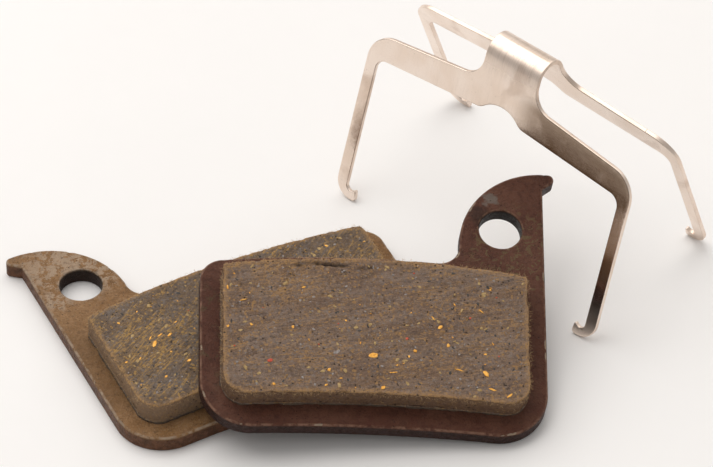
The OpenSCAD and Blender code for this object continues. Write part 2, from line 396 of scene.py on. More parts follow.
# ------ materials
class Shader:
    """A node material built by short calls. Coordinates are in millimetres."""

    def __init__(self, name, **values):
        self.mat = bpy.data.materials.new(name)
        self.mat.use_nodes = True
        self.tree = self.mat.node_tree
        self.bsdf = self.tree.nodes["Principled BSDF"]
        for key, value in values.items():
            self.bsdf.inputs[key.replace("_", " ")].default_value = value
        self.mm = self.node("ShaderNodeAttribute", attribute_name="local_mm").outputs["Vector"]

    def node(self, kind, sockets=(), **props):
        """A node with its properties set and its sockets fed."""
        made = self.tree.nodes.new(kind)
        for key, value in props.items():
            setattr(made, key, value)
        for key, value in dict(sockets).items():
            self.feed(made.inputs[key], value)
        return made

    def feed(self, socket, value):
        """Puts a node's output or a plain value into a socket."""
        if isinstance(value, bpy.types.NodeSocket):
            self.tree.links.new(value, socket)
        else:
            socket.default_value = (*value, 1) if socket.type == "RGBA" else value

    def math3(self, op, a, b):
        return self.node("ShaderNodeVectorMath", {0: a, 1: b}, operation=op).outputs[0]

    def math(self, op, a, b=0.0):
        return self.node("ShaderNodeMath", {0: a, 1: b}, operation=op).outputs[0]

    def times(self, a, b):
        return self.math("MULTIPLY", a, b)

    def stretch(self, angle, along, across, source=None):
        """Coordinates turned in plan and scaled, for streaks that run at an angle."""
        sockets = {"Vector": source or self.mm, "Rotation": (0, 0, math.radians(-angle))}
        turn = self.node("ShaderNodeMapping", sockets, vector_type="POINT")
        return self.math3("MULTIPLY", turn.outputs[0], (along, across, 1.0))

    def noise(self, scale, detail=4.0, rough=0.55, distort=0.0, source=None):
        sockets = {"Vector": source or self.mm, "Scale": scale, "Detail": detail}
        sockets.update({"Roughness": rough, "Distortion": distort})
        return self.node("ShaderNodeTexNoise", sockets).outputs["Fac"]

    def cells(self, scale, source=None, out="Distance"):
        sockets = {"Vector": source or self.mm, "Scale": scale}
        return self.node("ShaderNodeTexVoronoi", sockets).outputs[out]

    def ramp(self, value, low, high, a=0.0, b=1.0):
        """Goes smoothly from a to b where a value goes from low to high."""
        sockets = {"Value": value, "From Min": low, "From Max": high, "To Min": a, "To Max": b}
        return self.node("ShaderNodeMapRange", sockets, interpolation_type="SMOOTHSTEP").outputs[0]

    def mix(self, share, a, b):
        """Colour a, going to b as the share goes from 0 to 1."""
        return self.node("ShaderNodeMix", {0: share, 6: a, 7: b}, data_type="RGBA").outputs[2]

    def over(self, colour, paint, share, value, low, high):
        """A colour with paint over it, up to a share, where a value goes from low to high."""
        return self.mix(self.times(self.ramp(value, low, high), share), colour, paint)

    def away(self, centre):
        """Distance in plan from a place."""
        flat = self.math3("MULTIPLY", self.math3("SUBTRACT", self.mm, (*centre, 0)), (1, 1, 0))
        return self.node("ShaderNodeVectorMath", {0: flat}, operation="LENGTH").outputs["Value"]

    def blot(self, centre, radius, ragged, scale=1.2):
        """1 inside a ragged round spot in local millimetres, 0 outside."""
        edge = self.times(self.math("SUBTRACT", self.noise(scale), 0.5), ragged)
        return self.ramp(self.math("ADD", self.away(centre), edge), radius, radius * 0.45)

    def attribute(self, name):
        return self.node("ShaderNodeAttribute", attribute_name=name).outputs["Fac"]

    def finished(self, colour, rough, *heights):
        """The material, with bumps given as (height, distance in millimetres, strength)."""
        self.feed(self.bsdf.inputs["Base Color"], colour)
        self.feed(self.bsdf.inputs["Roughness"], rough)
        last = None
        for height, distance, strength in heights:
            sockets = {"Height": height, "Distance": distance * MM, "Strength": strength}
            if last is not None:
                sockets["Normal"] = last
            last = self.node("ShaderNodeBump", sockets).outputs[0]
        self.feed(self.bsdf.inputs["Normal"], last)
        return self.mat


def shade(colour, factor):
    """A colour made darker or lighter."""
    return tuple(c * factor for c in colour)


def plate_coat(name, base, light, dark, side, worn, marks):
    """Thin baked coat on steel: wrinkles, mottling, pale edges of wear and painted highlight, painted shade
    on walls and bore, bare metal where wear is set.
    """
    s = Shader(name, Specular_IOR_Level=0.16, Coat_Weight=0.05, Coat_Roughness=0.25)
    colour = s.mix(s.ramp(s.noise(0.3, 5), 0.35, 0.68), base, light)
    colour = s.over(colour, dark, 0.55, s.noise(1.5, 8, 0.72, 0.8), 0.44, 0.66)
    colour = s.over(colour, light, 0.5, s.noise(7.0, 4, 0.7), 0.54, 0.66)
    colour = marks(s, colour)
    # The walls and underside take the side colour: a painted shade, with the coat's reddish tone
    height = s.node("ShaderNodeSeparateXYZ", {0: s.mm}).outputs["Z"]
    wall_shade = s.ramp(height, PLATE_T - 0.14, PLATE_T - 0.4)
    wall = s.mix(s.ramp(s.noise(1.6, 6, 0.7), 0.4, 0.62), side, shade(side, 0.45))
    colour = s.mix(s.times(wall_shade, 0.9), colour, wall)
    # Pale top edges: partly wear, partly a painted bevel highlight
    worn_edge_and_highlight = s.times(s.attribute("edge"), s.ramp(s.noise(1.3, 6, 0.7), 0.4, 0.58))
    colour = s.mix(s.times(worn_edge_and_highlight, 0.75), colour, worn)
    pits = s.times(s.ramp(s.cells(1.9), 0.17, 0.08), s.ramp(s.noise(0.5, 2), 0.46, 0.54))
    colour = s.mix(s.times(pits, 0.75), colour, shade(dark, 0.25))
    # Painted shade down the bore of the pin hole
    colour = s.mix(s.times(s.ramp(s.away((0, 0)), HOLE_R + 0.14, HOLE_R), 0.85), colour, (0.016, 0.01, 0.008))
    bare = s.ramp(s.attribute("wear"), 0.35, 0.65)
    colour = s.mix(bare, colour, (0.40, 0.31, 0.23))
    s.feed(s.bsdf.inputs["Metallic"], s.times(bare, 0.8))
    rough = s.ramp(s.noise(2.2, 5, 0.6), 0.3, 0.75, 0.34, 0.62)
    wrinkle, fine = s.noise(1.8, 7, 0.68, 1.3), s.noise(9, 4, 0.7)
    return s.finished(colour, rough, (wrinkle, 0.42, 0.85), (fine, 0.06, 0.75), (pits, -0.08, 0.8))


def dark_marks(s, colour):
    """Olive smears on the ear and at the other end, and soot and a grey scuff beside the pin hole."""
    smear = s.times(s.ramp(s.noise(0.95, 6, 0.62, 1.6), 0.53, 0.56), s.blot((1.6, -2.6), 6.5, 3.0))
    colour = s.mix(s.times(smear, 0.8), colour, (0.16, 0.108, 0.052))
    lower = s.times(s.ramp(s.noise(0.6, 5, 0.6, 1.0), 0.52, 0.64), s.blot((-30.2, -14), 8, 3.0))
    colour = s.mix(s.times(lower, 0.55), colour, (0.10, 0.075, 0.035))
    soot = s.blot((-2.1, 1.6), 1.5, 1.4)
    colour = s.mix(s.times(soot, 0.55), colour, (0.018, 0.012, 0.01))
    scuff = s.times(s.blot((-1.0, 3.5), 1.0, 2.2, 1.2), s.ramp(s.noise(3, 4), 0.28, 0.42))
    return s.mix(s.times(scuff, 0.85), colour, (0.19, 0.155, 0.13))


def tan_glare_and_marks(s, colour):
    """Pale flaked patches over the ear, partly polished coat and partly painted glare; specks, grime, and a
    stained patch below the ear.
    """
    # Painted glare: pale flaked patches over the ear, drawn as partly polished coat
    flaked = s.ramp(s.noise(0.9, 10, 0.74, 0.35), 0.47, 0.5)
    over = s.math("MAXIMUM", s.blot((-0.9, 3.4), 7.4, 7.0, 0.4), s.blot((2.9, -1.2), 2.0, 3.5, 0.7))
    polish_and_glare = s.times(flaked, over)
    colour = s.mix(s.times(polish_and_glare, 0.8), colour, (0.47, 0.35, 0.25))
    colour = s.over(colour, (0.44, 0.30, 0.18), 0.5, s.noise(4.5, 5, 0.7), 0.55, 0.62)
    colour = s.over(colour, (0.11, 0.06, 0.028), 0.5, s.noise(2.4, 7, 0.75, 0.4), 0.54, 0.62)
    stain_and_dark_reflection = s.blot((3.0, -12), 9, 5, 0.4)
    return s.mix(s.times(stain_and_dark_reflection, 0.35), colour, (0.15, 0.085, 0.04))


def friction(name, ground, light, dark, ochre, wall, angle, warm_at, streaky):
    """Pressed compound: soft bands and streaks one way, gathered ochre lines, grains, and pits and cracks
    painted dark as shade.

    angle is the way of the streaks, warm_at the middle of a place rich in ochre lines, and streaky
    how strongly the long lines show."""
    s = Shader(name, Specular_IOR_Level=0.2)
    band = s.stretch(angle, 0.11, 0.45)
    streak = s.stretch(angle, 0.5, 3.0)
    fine = s.stretch(angle + 7, 1.3, 6.5)
    shifted = s.math3("ADD", s.mm, (31.7, 12.3, 5.1))
    colour = s.mix(s.ramp(s.noise(1.0, 5, 0.62, 0.9, band), 0.36, 0.62), ground, light)
    colour = s.over(colour, dark, 0.62, s.noise(1.0, 7, 0.7, 1.0, streak), 0.47, 0.64)
    gathered = s.noise(1.0, 5, 0.65, 1.2, s.stretch(angle, 0.14, 0.5, shifted))
    gathered = s.ramp(gathered, 0.45, 0.57, 0.5 - 0.45 * streaky, 1.0)
    warm = s.blot(warm_at, 5.0, 4.0, 0.5)
    gathered = s.math("MAXIMUM", gathered, warm)
    lines = s.times(s.ramp(s.noise(1.0, 6, 0.7, 1.3, fine), 0.5, 0.62), gathered)
    colour = s.mix(s.times(lines, 0.7), colour, ochre)
    long_lines = s.ramp(s.noise(1.0, 5, 0.66, 1.1, s.stretch(angle - 4, 0.32, 3.4, shifted)), 0.54, 0.62)
    long_lines = s.times(long_lines, gathered)
    colour = s.mix(s.times(long_lines, streaky), colour, shade(ochre, 1.1))
    threads = s.ramp(s.noise(1.0, 6, 0.7, 1.0, s.stretch(angle + 12, 0.7, 4.2)), 0.52, 0.6)
    colour = s.mix(s.times(threads, s.times(warm, 0.75)), colour, shade(ochre, 1.15))
    dusty = tuple(0.4 * c + 0.16 for c in light)
    colour = s.over(colour, dusty, 0.6, s.noise(3.1, 6, 0.72, 0.6, shifted), 0.53, 0.64)
    grit = s.noise(9.5, 4, 0.85, 0.3, shifted)
    colour = s.over(colour, dark, 0.5, grit, 0.5, 0.6)
    colour = s.over(colour, shade(light, 1.4), 0.5, grit, 0.48, 0.38)
    colour = s.over(colour, shade(ochre, 0.72), 0.42, s.noise(3.6, 5, 0.7, 0.8), 0.54, 0.64)
    tone = s.cells(4.6, source=s.math3("ADD", s.mm, (3.1, 0.4, 0)), out="Color")
    tone = s.node("ShaderNodeSeparateColor", {0: tone})
    colour = s.over(colour, dark, 0.4, tone.outputs[0], 0.8, 0.92)
    colour = s.over(colour, ochre, 0.6, tone.outputs[1], 0.88, 0.96)
    colour = s.over(colour, (0.27, 0.24, 0.22), 0.4, tone.outputs[2], 0.93, 0.98)
    # Painted shade on the block's walls, where little light falls; the olive compound's walls get a paler tan
    colour = s.mix(s.times(s.attribute("side"), 0.75), colour, wall)
    rim = s.times(s.attribute("fuzz"), s.ramp(s.noise(3.3, 7, 0.78, 1.4), 0.42, 0.53))
    colour = s.mix(s.times(rim, 0.92), colour, (0.45, 0.265, 0.115))
    pits = s.ramp(s.cells(1.7, source=s.math3("ADD", s.mm, (7.3, 2.1, 0))), 0.2, 0.1)
    pits = s.times(pits, s.ramp(s.noise(0.7, 2), 0.44, 0.52))
    # Pits and cracks painted near-black: a painted shade in these recesses
    deep = s.math("MAXIMUM", pits, s.attribute("pit"))
    colour = s.mix(s.times(deep, 0.8), colour, (0.022, 0.016, 0.013))
    return s.finished(
        colour, s.ramp(s.noise(3.5, 4), 0.3, 0.7, 0.6, 0.9),
        (s.noise(2.4, 7, 0.72, 0.8), 0.26, 0.85), (s.noise(1.0, 5, 0.6, 0.9, fine), 0.09, 0.7),
        (s.noise(12, 3), 0.05, 0.7), (pits, -0.12, 0.8),
    )


def fleck(name, base, light, metallic, rough):
    """Metal or mineral bit: scratched, a little dull at its edges."""
    s = Shader(name, Metallic=metallic)
    colour = s.mix(s.ramp(s.noise(4.5, 4, 0.6, 0.5), 0.35, 0.65), base, light)
    rough = s.ramp(s.noise(7, 3), 0.3, 0.7, rough, rough + 0.25)
    return s.finished(colour, rough, (s.noise(8, 4), 0.05, 0.7))


def spring_steel():
    """Rolled stainless strip: fine lines along it, clearest on the arch, warm stains, brown specks, and a
    painted dark reflection on the front right arm.
    """
    s = Shader("spring_steel", Metallic=1.0)
    flat = s.node("ShaderNodeUVMap", uv_map="strip").outputs[0]
    along = s.node("ShaderNodeSeparateXYZ", {0: flat})
    on_arch = s.ramp(s.math("ABSOLUTE", along.outputs["Y"]), ARCH_LEN + 2.2, ARCH_LEN - 0.6)
    lines = s.noise(1.0, 4, 0.6, 0.15, s.math3("MULTIPLY", flat, (9.0, 0.35, 1)))
    cross = s.noise(1.0, 3, 0.6, 0.1, s.math3("MULTIPLY", flat, (0.8, 7.0, 1)))
    cloud = s.noise(0.25, 4, 0.5, 0.4, flat)
    colour = s.mix(s.ramp(cloud, 0.3, 0.7), (0.80, 0.66, 0.555), (0.885, 0.765, 0.675))
    brushed = s.times(s.ramp(lines, 0.45, 0.7), s.math("ADD", s.times(on_arch, 0.3), 0.1))
    colour = s.mix(brushed, colour, (0.54, 0.44, 0.36))
    brown = s.times(on_arch, s.ramp(along.outputs["Y"], -2.5, -6.0))
    brown = s.math("MAXIMUM", brown, s.ramp(s.noise(0.17, 4, 0.55, 0.4, flat), 0.54, 0.66))
    colour = s.mix(s.times(brown, 0.42), colour, (0.47, 0.33, 0.24))
    specks = s.ramp(s.cells(2.1, source=flat), 0.12, 0.05)
    specks = s.times(specks, s.ramp(s.noise(0.6, 2, source=flat), 0.48, 0.54))
    colour = s.mix(s.times(specks, 0.7), colour, (0.16, 0.10, 0.065))
    # A painted dark reflection over the front frame's right arm and shoulder, on the broad faces only
    stain_and_dark_reflection = s.times(s.ramp(along.outputs["X"], 0.8, 5.0), s.ramp(along.outputs["Y"], -3.4, -5.4))
    stain_and_dark_reflection = s.times(stain_and_dark_reflection, s.ramp(s.noise(0.22, 5, 0.6, 0.5, flat), 0.28, 0.5, 0.6, 1.0))
    stain_and_dark_reflection = s.times(stain_and_dark_reflection, s.ramp(along.outputs["Y"], -ARCH_LEN - 10, -ARCH_LEN - 7))
    sheared = s.ramp(s.attribute("broad"), 0.97, 0.8)
    stain_and_dark_reflection = s.times(stain_and_dark_reflection, s.math("SUBTRACT", 1.0, sheared))
    colour = s.mix(s.times(stain_and_dark_reflection, 0.88), colour, (0.23, 0.16, 0.11))
    haze = s.math("ADD", s.ramp(cloud, 0.3, 0.7, 0.0, 0.04), s.ramp(lines, 0.3, 0.7, 0.12, 0.17))
    haze = s.math("ADD", haze, s.times(sheared, 0.25))
    rough, dents = s.math("ADD", haze, s.times(on_arch, 0.22)), s.noise(0.55, 4, 0.5, 0.0, flat)
    return s.finished(colour, rough, (lines, 0.006, 0.3), (cross, 0.006, 0.2), (dents, 0.05, 0.25))


def fibre_material(name, base, light):
    """Short fibres with a slight sheen."""
    s = Shader(name, Sheen_Weight=0.15)
    colour = s.mix(s.ramp(s.noise(1.4, 3), 0.3, 0.7), base, light)
    return s.finished(colour, s.ramp(s.noise(3, 2), 0.3, 0.7, 0.6, 0.85), (s.noise(20, 2), 0.01, 0.5))


def bond_material():
    """Hard bond resin, coloured dark as a painted shadow line at the block's foot, with a lumpy surface."""
    s = Shader("adhesive")
    colour = s.mix(s.ramp(s.noise(1.2, 5), 0.3, 0.7), (0.05, 0.032, 0.022), (0.11, 0.075, 0.045))
    colour = s.over(colour, (0.06, 0.04, 0.03), 0.6, s.noise(5, 3), 0.5, 0.7)
    rough = s.ramp(s.noise(3, 3), 0.3, 0.7, 0.6, 0.85)
    return s.finished(colour, rough, (s.noise(3.5, 5, 0.65), 0.12, 0.7))


# ------ pads
FIBRE_RADIUS = (0.008, 0.016)
CHIP_DEEPEST, CRUMBLE_DEEPEST = 0.16, 0.32
FACE_DEPTH = 0.04  # of the pressed surface below the block's CAD face, in the mean
BIT_DEPTH, BIT_SETTING, BIT_BEVEL = 0.16, 0.035, 0.025  # of grains and flakes, below the CAD face


def layout_matrix(pad):
    """Where a pad's own frame lies, in metres."""
    if pad == "lower":
        return Matrix.Rotation(math.radians(LOWER_YAW), 4, "Z")
    turn = (
        Matrix.Rotation(math.radians(UPPER_YAW), 4, "Z")
        @ Matrix.Rotation(math.radians(UPPER_ROLL), 4, "Y")
        @ Matrix.Rotation(math.radians(UPPER_TILT), 4, "X")
    )
    lowest = min((turn @ Vector((*p, 0))).z for p in plate_outline())
    return Matrix.Translation(Vector((*UPPER_AT, REST_GAP - lowest)) * MM) @ turn


def weigh_normals(mesh):
    """Smooth normals weighted by face area, so flat faces stay flat beside a narrow rounded edge."""
    total = np.zeros((len(mesh.vertices), 3))
    for face in mesh.polygons:
        total[list(face.vertices)] += np.array(face.normal) * face.area
    total /= np.linalg.norm(total, axis=1)[:, None]
    mesh.normals_split_custom_set_from_vertices([tuple(n) for n in total])


def place(obj, pad):
    """Puts a piece's mesh where its pad lies, mirrored for the lower pad, and rides it there."""
    turn = layout_matrix(pad)
    mirror = pad == "lower"
    if mirror:
        turn = turn @ Matrix.Scale(-1, 4, (1, 0, 0))
    obj.data.transform(turn)
    if mirror:
        obj.data.flip_normals()
    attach(obj, pad + "_pad")
    return obj


def plate_piece(pad, material, seed):
    """Backing plate with rounded, worn edges."""
    outline = dense(plate_outline(), 0.3)
    hole = dense([polar((0, 0), HOLE_R, -a) for a in range(0, 360, 6)], 0.3)
    pts, out, edge, faces = slab(
        [outline, hole], 0, PLATE_T, round_top=0.28, round_bottom=0.12, step=0.6
    )
    wear = np.zeros(len(pts))
    for i, p in enumerate(pts):
        # Both the outline and the bore are worn back a little where the coat has chipped
        chip = max(0.0, n3(p, 0.55, seed) + 0.5 * n3(p, 2.1, seed + 3) - 0.36) * edge[i]
        wear[i] = min(1.0, chip * 6)
        sway = 0.012 * n3(p, 0.35, seed + 9)
        pts[i] -= out[i] * (0.012 + min(CHIP_DEEPEST, chip * 0.5) - (sway if out[i][2] > 0.5 else 0))
        if out[i][2] < -0.5:
            pts[i][2] = max(0.0, pts[i][2])
    worn_edge_and_highlight = np.clip(edge, 0, 1) * (out[:, 2] > 0)
    obj = make(pad + "_plate", pts, faces, material, {"wear": wear, "edge": worn_edge_and_highlight})
    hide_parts(pad + "_backing_plate")
    place(obj, pad)
    weigh_normals(obj.data)
    return obj


def block_relief(p, seed, angle):
    """Depth of the pressed surface below flat, and how far it is a pit, at a place on the block."""
    c, s = math.cos(math.radians(angle)), math.sin(math.radians(angle))
    u, v = p[0] * c + p[1] * s, -p[0] * s + p[1] * c
    streak = noise.noise(Vector((u * 0.55, v * 2.6, seed)))
    grain = n2(p, 2.3, p[2] * 2.3 + seed)
    far, _ = noise.voronoi(Vector((p[0] * 0.95, p[1] * 0.95, p[2] * 0.95 + seed)))
    pit = max(0.0, 1 - far[0] / 0.2) * (1 if n3(p, 0.6, seed + 5) > 0.08 else 0)
    fine = n2(p, 5.1, p[2] * 5.1 - seed)
    return FACE_DEPTH + 0.012 * streak + 0.025 * grain + 0.022 * fine + 0.11 * pit, pit


def crack_depth(p, cracks):
    """Depth of the nearest ragged crack, each a line from one point to another."""
    depth = 0.0
    for a, b, width, deep in cracks:
        a, b, q = Vector(a), Vector(b), Vector(p[:2])
        t = min(1, max(0, (q - a).dot(b - a) / (b - a).length_squared))
        near = (q - a.lerp(b, t)).length + 0.12 * n2(q, 2.2, 4.0) + 0.09 * n2(q, 6.5, 1.0)
        depth = max(depth, deep * max(0.0, 1 - near / width) * min(1, 4 * t + 0.3, 4 * (1 - t) + 0.3))
    return depth


def block_piece(pad, material, seed, angle, cracks):
    """Friction block with a pressed, pitted face, crumbled edges and rough walls."""
    outline = dense(block_outline(0.02), 0.2)
    pts, out, edge, faces = slab(
        [outline], PLATE_T + BOND_T, BLOCK_TOP_Z, round_top=0.22, round_bottom=0.08, step=0.2, rows=4
    )
    pits = np.zeros(len(pts))
    # fuzz is how thickly ochre fibre covers a point, and side is 1 on the walls
    rim = dense(block_outline(0.02), 0.4)
    reach = np.sqrt(((pts[:, None, :2] - rim[None]) ** 2).sum(2).min(1))
    fuzz = np.clip(1.25 - reach / 0.55, 0, 1) * (out[:, 2] > 0.05) + 0.2 * (abs(out[:, 2]) < 0.05)
    wall = np.clip(1 - abs(out[:, 2]) * 1.6, 0, 1)
    for i, p in enumerate(pts):
        if out[i][2] < -0.5:
            continue
        sink, pit = block_relief(p, seed, angle)
        crumble = max(0.0, n3(p, 0.9, seed + 2) + 0.6 * n3(p, 3.1, seed + 4) - 0.18) * (0.2 + edge[i])
        side = 1 - abs(out[i][2])
        ragged = 0.07 * side * (1 + n3(p, 1.7, seed + 7) + 0.5 * n3(p, 5.0, seed + 8))
        groove = crack_depth(p, cracks) * max(0.0, out[i][2])
        pts[i] -= out[i] * (sink + min(CRUMBLE_DEEPEST, crumble * 0.42) + ragged + groove)
        pits[i] = min(1.0, pit * 1.3 + groove * 3)
    obj = make(pad + "_block", pts, faces, material, {"pit": pits, "fuzz": fuzz, "side": wall})
    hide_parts(pad + "_friction_block")
    return place(obj, pad)


def bond_piece(pad, material, seed):
    """Adhesive squeezed out in a ragged bead around the block's foot."""
    outline = dense(block_outline(0.1), 0.25)
    normal = outward(outline)
    bead = [0.08 + 0.16 * n2(p, 0.8, seed) + 0.1 * n2(p, 3, seed) for p in outline]
    outline = outline + normal * np.array(bead)[:, None]
    low, high = PLATE_T - 0.01, PLATE_T + BOND_T
    pts, _, _, faces = slab([outline], low, high, round_top=0.12, round_bottom=0.03, step=0.5)
    obj = make(pad + "_bond", pts, faces, material)
    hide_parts(pad + "_bond_layer")
    return place(obj, pad)


def chip_shape(rng, centre, length, width, angle, proud):
    """A flat irregular bit with a bevelled rim, set into the face about level with the surface."""
    n = rng.randint(5, 8)
    c, s = math.cos(math.radians(angle)), math.sin(math.radians(angle))
    rim = []
    for i in range(n):
        a = math.tau * (i + rng.uniform(-0.3, 0.3)) / n
        u = length / 2 * math.cos(a) * rng.uniform(0.7, 1.1)
        v = width / 2 * math.sin(a) * rng.uniform(0.65, 1.15)
        rim.append((centre[0] + u * c - v * s, centre[1] + u * s + v * c))
    tilt_x, tilt_y = rng.uniform(-0.06, 0.06), rng.uniform(-0.06, 0.06)

    def height(p, z):
        return z + (p[0] - centre[0]) * tilt_x + (p[1] - centre[1]) * tilt_y

    low = BLOCK_TOP_Z - BIT_DEPTH
    top = BLOCK_TOP_Z - BIT_SETTING + proud
    inner = [(centre[0] + (x - centre[0]) * 0.78, centre[1] + (y - centre[1]) * 0.78) for x, y in rim]
    pts = [(x, y, low) for x, y in rim]
    pts += [(p[0], p[1], height(p, top - BIT_BEVEL)) for p in rim]
    pts += [(p[0], p[1], height(p, top)) for p in inner]
    return pts, [tuple(reversed(range(n))), tuple(range(2 * n, 3 * n))] + rings(0, n, 3)


def gather(shapes):
    """One mesh's points and faces from many."""
    pts, faces = [], []
    for p, f in shapes:
        faces += [tuple(len(pts) + i for i in face) for face in f]
        pts += list(p)
    return pts, faces


# The block's outline moved in, for places that keep clear of its rim
BLOCK_INSET = {m: np.array(block_outline(m)) for m in (0.5, 1.0)}


def on_block(rng, margin=0.5):
    """A random place on the friction face."""
    while True:
        x = rng.uniform(PLATE_MID - BLOCK_W / 2, PLATE_MID + BLOCK_W / 2)
        y = rng.uniform(-BLOCK_BOTTOM, -BLOCK_TOP)
        if inside(np.array([(x, y)]), BLOCK_INSET[margin])[0]:
            return (x, y)


def flakes(pad, kind, material, chosen, count, sizes, seed, proud):
    """Bits of one kind in a pad's face: the chosen ones, then seeded ones."""
    rng = random.Random(seed)
    shapes = [chip_shape(rng, at, length, width, angle, proud) for at, length, width, angle in chosen]
    for _ in range(count):
        length = rng.uniform(*sizes)
        at = on_block(rng)
        width = length * rng.uniform(0.3, 0.8)
        angle = rng.uniform(0, 180)
        shapes.append(chip_shape(rng, at, length, width, angle, proud))
    pts, faces = gather(shapes)
    obj = make(f"{pad}_{kind}", pts, faces, material)
    obj.data.shade_flat()
    return place(obj, pad)


def hair(rng, start, heading, length, radius, lift, curl):
    """A thin bent fibre of four sides, tapering to its ends."""
    sides, steps = 4, 6
    here, pts = Vector(start), []
    turn, rise_now = heading, lift
    for k in range(steps + 1):
        fat = radius * (1 - 0.6 * abs(2 * k / steps - 1))
        level = math.cos(rise_now)
        ahead = Vector((math.cos(turn) * level, math.sin(turn) * level, math.sin(rise_now)))
        right = ahead.cross(Vector((0, 0, 1))).normalized()
        up = right.cross(ahead)
        for i in range(sides):
            a = math.tau * i / sides
            pts.append(here + right * fat * math.cos(a) + up * fat * math.sin(a))
        here = here + ahead * length / steps
        turn += curl + rng.uniform(-0.25, 0.25)
        rise_now *= 0.75
    ends = [tuple(reversed(range(sides))), tuple(range(steps * sides, (steps + 1) * sides))]
    return pts, rings(0, sides, steps + 1) + ends


def fibres(pad, material, seed, at_rim, on_face, angle):
    """Loose fibres: a fringe at the block's rim, and some lying along the streaks of the face."""
    rng = random.Random(seed)
    rim = dense(block_outline(0.1), 0.1)
    normal = outward(rim)
    shapes = []
    for _ in range(at_rim):
        i = rng.randrange(len(rim))
        heading = math.atan2(normal[i][1], normal[i][0]) + rng.uniform(-1.3, 1.3)
        z = rng.choice((BLOCK_TOP_Z - 0.14, BLOCK_TOP_Z - 0.3, rng.uniform(PLATE_T + 0.2, BLOCK_TOP_Z - 0.2)))
        length, radius = rng.uniform(0.12, 0.5), rng.uniform(*FIBRE_RADIUS)
        lift, curl = rng.uniform(-0.2, 0.15), rng.uniform(-0.3, 0.3)
        shapes.append(hair(rng, (*rim[i], z), heading, length, radius, lift, curl))
    for _ in range(on_face):
        heading = math.radians(angle + rng.gauss(0, 22))
        start = (*on_block(rng, 1.0), BLOCK_TOP_Z - 0.05)
        length, radius = rng.uniform(0.3, 1.2), rng.uniform(*FIBRE_RADIUS)
        shapes.append(hair(rng, start, heading, length, radius, 0, rng.uniform(-0.15, 0.15)))
    pts, faces = gather(shapes)
    low, high = PLATE_T + 0.02, BLOCK_TOP_Z + 0.02
    pts = [Vector((p[0], p[1], min(max(p[2], low), high))) for p in pts]
    obj = make(pad + "_fibres", pts, faces, material)
    return place(obj, pad)


# How the fibre streaks run in each compound, in degrees
GREY_STREAKS, OLIVE_STREAKS = 12, -30

# side colours the plates' walls and underside, darkened as painted shade
coat_dark = plate_coat(
    "plate_coat_dark", base=(0.112, 0.041, 0.025), light=(0.15, 0.064, 0.04), dark=(0.05, 0.019, 0.013),
    side=(0.038, 0.015, 0.011), worn=(0.32, 0.18, 0.12), marks=dark_marks,
)
# The lower plate's paler tan is painted glare over the same coat as the upper plate's
coat_tan_glare = plate_coat(
    "plate_coat_tan", base=(0.285, 0.15, 0.059), light=(0.35, 0.20, 0.094), dark=(0.16, 0.08, 0.033),
    side=(0.16, 0.068, 0.036), worn=(0.50, 0.40, 0.31), marks=tan_glare_and_marks,
)
# The grey compound's wall colour is a painted shade on its unlit walls; the olive one's is a paler tan
friction_grey = friction(
    "friction_grey", ground=(0.20, 0.127, 0.086), light=(0.265, 0.19, 0.145), dark=(0.084, 0.06, 0.053),
    ochre=(0.43, 0.245, 0.09), wall=(0.088, 0.046, 0.031), angle=GREY_STREAKS, warm_at=(-22.3, -7.3),
    streaky=0.75,
)
friction_olive = friction(
    "friction_olive", ground=(0.165, 0.11, 0.073), light=(0.185, 0.145, 0.12), dark=(0.066, 0.053, 0.049),
    ochre=(0.50, 0.295, 0.085), wall=(0.24, 0.16, 0.105), angle=OLIVE_STREAKS, warm_at=(-2.0, -13.6),
    streaky=0.85,
)
brass = fleck("brass_flake", (0.72, 0.33, 0.05), (0.92, 0.50, 0.11), 0.6, 0.35)
red_bit = fleck("red_grain", (0.50, 0.05, 0.02), (0.60, 0.11, 0.05), 0.0, 0.5)
grey_bit = fleck("mineral_grain", (0.22, 0.19, 0.175), (0.36, 0.32, 0.30), 0.0, 0.5)
dark_bit = fleck("carbon_grain", (0.022, 0.018, 0.016), (0.05, 0.042, 0.036), 0.0, 0.4)
ochre_bit = fleck("ochre_grain", (0.34, 0.22, 0.08), (0.48, 0.33, 0.14), 0.0, 0.55)
fibre_tan = fibre_material("aramid_fibre", (0.40, 0.24, 0.10), (0.58, 0.39, 0.19))
# The bond is coloured dark as a painted shadow line at the block's foot
adhesive = bond_material()

# Bits that stand out in the faces: place, length, width, angle
UPPER_BRASS = [
    ((-13.6, -17), 1.1, 0.6, 10), ((-18.2, -18.9), 0.5, 0.4, 60), ((-9.4, -16.3), 0.5, 0.4, 0),
    ((-6.8, -13.4), 0.6, 0.4, 40), ((-6, -15.5), 0.6, 0.4, 90), ((-2.2, -18.6), 1.1, 0.5, 130),
    ((-1.6, -20.4), 0.9, 0.25, 160), ((0.2, -21), 0.9, 0.3, 40), ((-26.9, -11.2), 0.9, 0.15, 20),
    ((-4.9, -18.3), 1.0, 0.18, 165), ((-11.6, -18.9), 1.2, 0.16, 10), ((-12.7, -20.7), 0.5, 0.4, 60),
    ((-2.6, -11.3), 0.8, 0.16, 140), ((-7.5, -12.4), 0.8, 0.16, 120), ((-28.5, -9.8), 0.6, 0.2, 100),
]
LOWER_BRASS = [
    ((-2.4, -13.5), 1.15, 0.4, -55), ((-3.4, -12.6), 0.9, 0.25, -18), ((-4.3, -13.0), 0.7, 0.35, -31),
    ((-0.2, -14.8), 0.5, 0.25, -44), ((1.3, -14.7), 0.4, 0.25, -7), ((-4.6, -17.2), 0.6, 0.35, -20),
    ((-1.5, -18.3), 0.5, 0.25, -33), ((-2.3, -12.6), 0.8, 0.2, -46), ((-5.6, -11.6), 0.5, 0.2, -9),
]
UPPER_RED = [((-24.2, -18.1), 0.6, 0.45, 20), ((-10.2, -14.9), 0.4, 0.3, 60), ((-3.7, -12.2), 0.3, 0.25, 0)]
